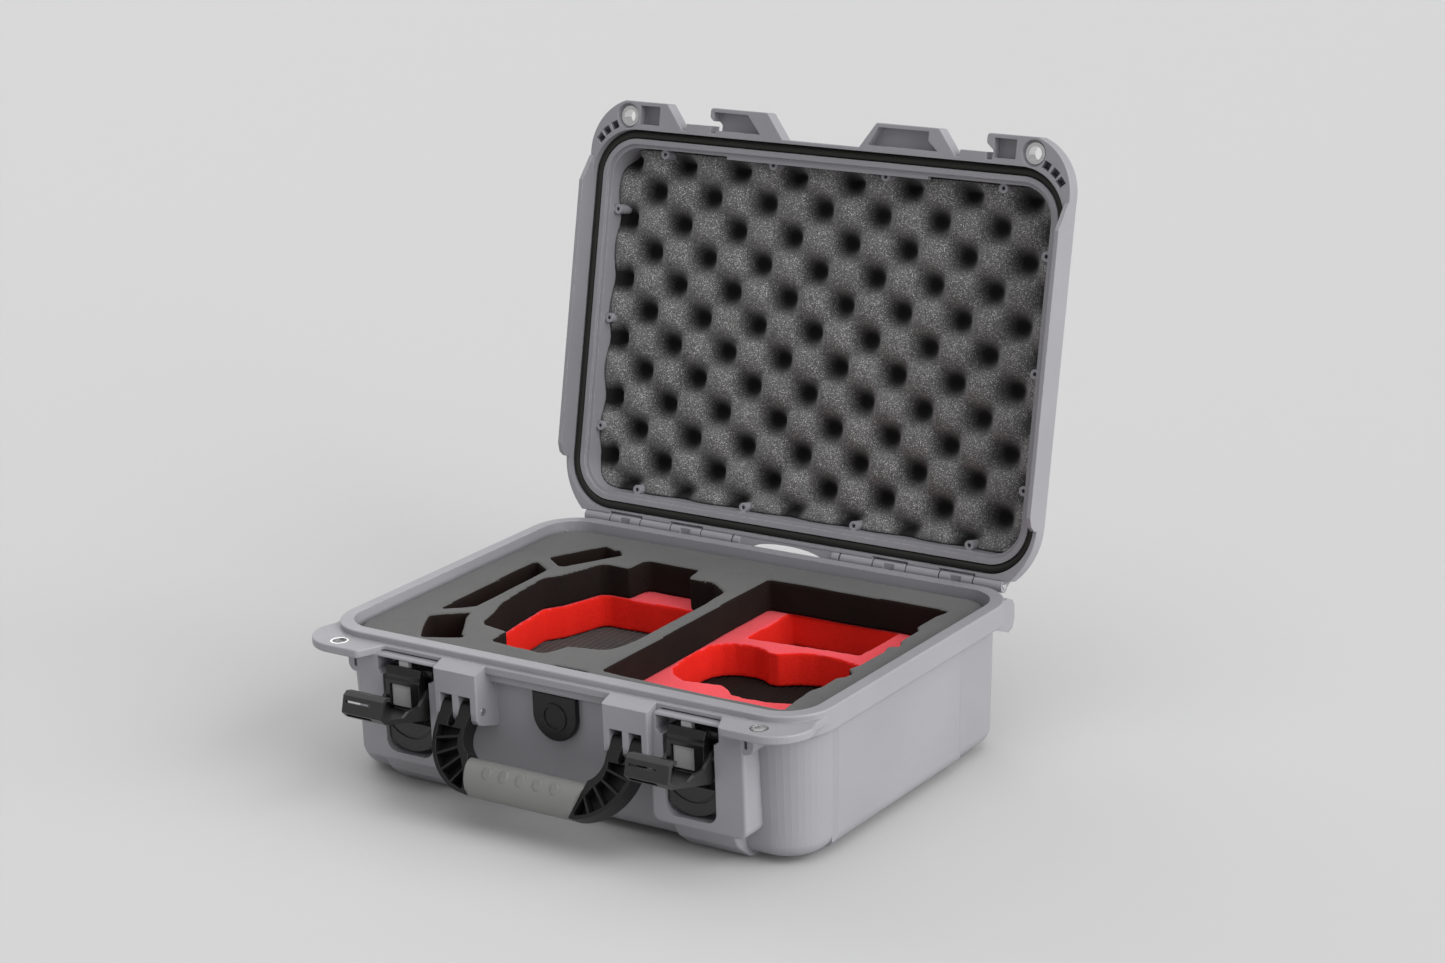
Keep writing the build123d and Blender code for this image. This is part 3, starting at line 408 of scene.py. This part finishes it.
def ribbed_floor():
    """The lowest layer: its top is ribbed front to back, its foot is tapered."""
    low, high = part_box("foam_floor")
    column_width = 0.0008
    rib_pitch, rib_height = 0.0050, 0.0009
    corner, taper = 0.032, 0.008
    # The right half of the floor is black in the photo
    black_from_x, black_to_y = 0.012, 0.045
    across = int((high.x - low.x) / column_width)
    half = (high - low) / 2
    middle = (high + low) / 2
    bm = bmesh.new()
    rows = []
    for i in range(across + 1):
        x = -half.x + 2 * half.x * i / across
        into = max(0.0, corner - (half.x - abs(x)))
        reach = half.y - corner + math.sqrt(max(0.0, corner**2 - into**2))
        rib = rib_height * (0.5 + 0.5 * math.cos(2 * math.pi * x / rib_pitch)) ** 0.6
        top = high.z - rib_height + rib
        foot_x, foot_y = x * (1 - taper / half.x), reach * (1 - taper / half.y)
        outline = (
            (foot_x, -foot_y, low.z), (x, -reach, top), (x, reach, top), (foot_x, foot_y, low.z)
        )
        rows.append([bm.verts.new((middle.x + px, middle.y + py, pz)) for px, py, pz in outline])
    for left, right in zip(rows, rows[1:]):
        for k in range(4):
            following = (k + 1) % 4
            bm.faces.new((left[k], left[following], right[following], right[k]))
    bm.faces.new(rows[0])
    bm.faces.new(reversed(rows[-1]))
    bmesh.ops.recalc_face_normals(bm, faces=bm.faces)
    mesh = bpy.data.meshes.new("foam_floor_ribs")
    bm.to_mesh(mesh)
    bm.free()
    floor = make_object("foam_floor_ribs", mesh)
    mesh.materials.append(foam_floor)
    mesh.materials.append(dark_foam_and_painted_shade)
    for polygon in mesh.polygons:
        polygon.use_smooth = False
        centre = polygon.center
        polygon.material_index = 1 if centre.x > black_from_x and centre.y < black_to_y else 0
    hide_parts("foam_floor")
    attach(floor, "base")


ribbed_floor()


# ------------------------------------------------------------------ egg-crate foam in the lid
def egg_crate():
    """Convoluted foam with staggered pits, drawn on the closed lid and then turned open.

    On the closed lid the foam faces down: crest, pit and back are heights over the case's
    underside, and turn is the radius of the edge at its back.
    """
    half_x, half_y, corner = 0.1866, 0.1296, 0.0225
    crest, pit, back, turn = 0.1222, 0.1440, 0.1512, 0.0150
    pit_sharpness = 1.7
    rim_width, rim_pits = 0.010, 0.2
    lump_height, lump_scale = 0.0011, 38.0
    grain_height, grain_scale = 0.00035, 260.0
    roll_width, roll_height = 0.003, 0.0012
    turn_steps = 5
    step = 0.0011
    count_x, count_y = int(2 * half_x / step), int(2 * half_y / step)
    bm = bmesh.new()

    def to_rim(x, y):
        return min(half_x - abs(x), half_y - abs(y))

    def face_height(x, y):
        """The face at a point: pits that fade towards the rim, with lumps and a fine grain."""
        u = 2 * math.pi * (x - pit_start_x) / pit_pitch_x
        v = 2 * math.pi * (y - pit_start_y) / pit_pitch_y
        pitness = (0.5 + 0.5 * math.cos(u) * math.cos(v)) ** pit_sharpness
        pitness *= min(1.0, rim_pits + to_rim(x, y) / rim_width)
        lump = noise.noise(Vector((x, y, 0.7)) * lump_scale) * lump_height
        fine = noise.noise(Vector((x, y, 1.3)) * grain_scale) * grain_height
        return crest + (pit - crest) * pitness + lump + fine

    def rounded(x, y):
        """Pulls the grid's corners in to the lid's corner radius."""
        dx, dy = abs(x) - (half_x - corner), abs(y) - (half_y - corner)
        if dx > 0 and dy > 0:
            scale = max(dx, dy) / math.hypot(dx, dy)
            x = math.copysign(half_x - corner + dx * scale, x)
            y = math.copysign(half_y - corner + dy * scale, y)
        return x, y

    grid = []
    for i in range(count_x + 1):
        column = []
        for j in range(count_y + 1):
            x, y = rounded(
                -half_x + 2 * half_x * i / count_x, -half_y + 2 * half_y * j / count_y
            )
            roll = max(0.0, 1 - to_rim(x, y) / roll_width) ** 2 * roll_height
            column.append(bm.verts.new((x, y, face_height(x, y) + roll)))
        grid.append(column)
    for i in range(count_x):
        for j in range(count_y):
            bm.faces.new((grid[i][j], grid[i][j + 1], grid[i + 1][j + 1], grid[i + 1][j]))
    rim = (
        [grid[i][0] for i in range(count_x + 1)]
        + [grid[count_x][j] for j in range(1, count_y + 1)]
        + [grid[i][count_y] for i in range(count_x - 1, -1, -1)]
        + [grid[0][j] for j in range(count_y - 1, 0, -1)]
    )
    # The sides and the turned edge at the back: one ring of corners after another
    previous = rim
    for k in range(turn_steps + 1):
        angle = 0.5 * math.pi * k / turn_steps
        inset = turn * (1 - math.cos(angle))
        scale_x, scale_y = 1 - inset / half_x, 1 - inset / half_y
        z = back - turn + turn * math.sin(angle)
        ring = [bm.verts.new((v.co.x * scale_x, v.co.y * scale_y, z)) for v in rim]
        for here in range(len(rim)):
            after = (here + 1) % len(rim)
            bm.faces.new((previous[here], previous[after], ring[after], ring[here]))
        previous = ring
    bm.faces.new(previous)
    bmesh.ops.recalc_face_normals(bm, faces=bm.faces)
    mesh = bpy.data.meshes.new("lid_egg_crate")
    bm.to_mesh(mesh)
    bm.free()
    for polygon in mesh.polygons:
        polygon.use_smooth = True
    mesh.materials.append(foam_lid)
    crate = opened(make_object("lid_egg_crate", mesh))
    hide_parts("lid_foam")
    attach(crate, "lid")


egg_crate()


# ------------------------------------------------------------------ lid seal
def ring_seal():
    """The O-ring: a soft D section swept round the lid's channel."""
    inside_x, inside_y, outward = 0.1905, 0.1335, 0.0073
    line_x, line_y, radius = inside_x + outward, inside_y + outward, 0.0333
    centre_z = 0.1129
    half_width, half_height, lower_share = 0.0031, 0.0021, 1.15
    sides, corner_steps = 16, 24
    longest_part, shortest_straight = 0.004, 0.02
    unevenness = 0.03
    section = []
    for k in range(sides):
        angle = 2 * math.pi * k / sides
        share = 1.0 if math.sin(angle) > 0 else lower_share
        section.append((half_width * math.cos(angle), half_height * math.sin(angle) * share))

    path = []
    arc_x, arc_y = line_x - radius, line_y - radius
    corners = (
        (arc_x, arc_y, 0.0), (-arc_x, arc_y, 0.5 * math.pi),
        (-arc_x, -arc_y, math.pi), (arc_x, -arc_y, 1.5 * math.pi),
    )
    for centre_x, centre_y, first_angle in corners:
        for k in range(corner_steps + 1):
            angle = first_angle + 0.5 * math.pi * k / corner_steps
            x = centre_x + radius * math.cos(angle)
            y = centre_y + radius * math.sin(angle)
            path.append((Vector((x, y, centre_z)), angle))

    stations = []
    for (start, start_angle), (end, end_angle) in zip(path, path[1:] + path[:1]):
        length = (end - start).length
        turning = 0.0 if length > shortest_straight else end_angle - start_angle
        parts = max(1, int(length / longest_part))
        for k in range(parts):
            share = k / parts
            stations.append((start.lerp(end, share), start_angle + turning * share))

    bm = bmesh.new()
    rings = []
    for point, angle in stations:
        out = Vector((math.cos(angle), math.sin(angle), 0))
        swell = 1.0 + unevenness * noise.noise(point * 30.0)
        ring = []
        for across, up in section:
            corner = point + out * (across * swell) + Vector((0, 0, up * swell))
            ring.append(bm.verts.new(corner))
        rings.append(ring)
    for ring, following in zip(rings, rings[1:] + rings[:1]):
        for k in range(sides):
            after = (k + 1) % sides
            bm.faces.new((ring[k], ring[after], following[after], following[k]))
    bmesh.ops.recalc_face_normals(bm, faces=bm.faces)
    mesh = bpy.data.meshes.new("lid_o_ring")
    bm.to_mesh(mesh)
    bm.free()
    for polygon in mesh.polygons:
        polygon.use_smooth = True
    mesh.materials.append(gasket)
    seal = opened(make_object("lid_o_ring", mesh))
    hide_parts("lid_seal")
    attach(seal, "lid")


ring_seal()


# ------------------------------------------------------------------ floor, light, camera
floor_mesh = bpy.data.meshes.new("studio_floor")
reach = 14.0
floor_corners = [(-reach, -reach, 0), (reach, -reach, 0), (reach, reach, 0), (-reach, reach, 0)]
floor_mesh.from_pydata(floor_corners, [], [(0, 1, 2, 3)])
studio = make_object("studio_floor", floor_mesh)
paper = Graph("studio_paper")
paper_grain = paper.noise(60.0, 4.0)
paper_dark, paper_light = (0.526, 0.526, 0.526), (0.534, 0.534, 0.534)
floor_mesh.materials.append(
    paper.finish(
        paper.mix(paper_grain, paper_dark, paper_light),
        paper.remap(paper_grain, 0.0, 1.0, 0.90, 0.96),
        paper.bump(paper_grain, 0.0001, 0.2),
    )
)


def soft_sun(name, direction, spread, power):
    """A very large, distant softbox, so that the floor is lit evenly. spread is in degrees."""
    light = bpy.data.lights.new(name, "SUN")
    light.angle = math.radians(spread)
    light.energy = power
    lamp = make_object(name, light)
    lamp.rotation_mode = "QUATERNION"
    lamp.rotation_quaternion = (-Vector(direction)).to_track_quat("-Z", "Y")


soft_sun("key_right", (1.0, 0.02, 0.35), 60.0, 3.2)
soft_sun("rim_left", (-1.0, 0.5, 0.5), 50.0, 0.8)
soft_sun("front_top", (0.10, -0.40, 1.0), 60.0, 0.50)
soft_sun("overhead", (0.1, 0.10, 1.0), 90.0, 0.66)

world = bpy.data.worlds.new("studio_world")
world.use_nodes = True
background = world.node_tree.nodes["Background"]
background.inputs["Color"].default_value = (1.0, 1.0, 1.0, 1.0)
background.inputs["Strength"].default_value = 0.44
bpy.context.scene.world = world
bpy.context.scene.view_settings.view_transform = "Standard"
bpy.context.scene.view_settings.look = "None"

# The photo's camera, solved from points on the case
azimuth, elevation, roll = math.radians(34.27), math.radians(17.11), math.radians(-2.07)
camera_place = Vector((1.2556, -1.7738, 0.8700))
level = math.cos(elevation)
back = Vector((math.sin(azimuth) * level, -math.cos(azimuth) * level, math.sin(elevation)))
right = (-back).cross(Vector((0, 0, 1))).normalized()
up = right.cross(-back)
tilted_right = right * math.cos(roll) + up * math.sin(roll)
tilted_up = up * math.cos(roll) - right * math.sin(roll)
camera_turn = Matrix((tilted_right, tilted_up, back)).transposed().to_4x4()
lens = bpy.data.cameras.new("camera")
lens.sensor_width = 36.0
lens.lens = 81.91
lens.clip_end = 60.0
camera = make_object("camera", lens)
camera.matrix_world = Matrix.Translation(camera_place) @ camera_turn
bpy.context.scene.camera = camera

bpy.context.view_layer.update()
